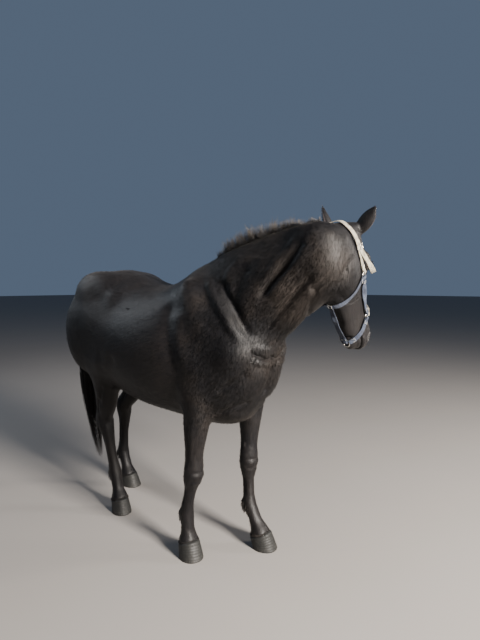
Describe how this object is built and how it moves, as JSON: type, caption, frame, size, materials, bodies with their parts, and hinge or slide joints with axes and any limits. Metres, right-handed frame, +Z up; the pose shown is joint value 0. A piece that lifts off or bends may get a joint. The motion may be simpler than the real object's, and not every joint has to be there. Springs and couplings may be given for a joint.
{
  "type": "standing horse",
  "caption": "Life-size still model of a stocky black cob standing with its head turned to its left, short upright mane, long tail, webbing halter without a rope",
  "frame": {"origin": "centre of the footprint of the whole model, on the floor under its hooves", "axes": "+Z up, the trunk faces -Y, the horse's left is +X, where its head is turned"},
  "size_m": [0.7214, 2.0588, 1.743],
  "materials": {
    "coat": "short glossy black hair, brown where the light strikes",
    "mane_hair": "coarse upright black hair",
    "tail_hair": "long black hair",
    "eye": "wet dark brown",
    "hoof": "dull dark grey horn",
    "webbing": "weathered pale webbing",
    "dark_webbing": "worn grey blue webbing",
    "ring_metal": "dull nickel"
  },
  "bodies": {
    "root": {"trunk": "coat", "neck": "coat", "head": "coat", "ear_left": "coat", "ear_right": "coat", "foreleg_left": "coat", "foreleg_right": "coat", "hindleg_left": "coat", "hindleg_right": "coat", "forehoof_left": "hoof", "forehoof_right": "hoof", "hindhoof_left": "hoof", "hindhoof_right": "hoof", "eye_left": "eye", "eye_right": "eye", "mane": "mane_hair", "tail": "tail_hair", "halter_crown": "webbing", "halter_cheek_left": "dark_webbing", "halter_cheek_right": "dark_webbing", "halter_noseband": "webbing", "halter_strap_end": "webbing", "halter_throat": "webbing", "halter_chin_left": "dark_webbing", "halter_chin_right": "dark_webbing", "halter_jaw": "dark_webbing", "halter_buckle": "ring_metal", "halter_ring_chin": "ring_metal", "halter_ring_lower_left": "ring_metal", "halter_ring_lower_right": "ring_metal", "halter_ring_upper_left": "ring_metal", "halter_ring_upper_right": "ring_metal"}
  },
  "joints": []
}
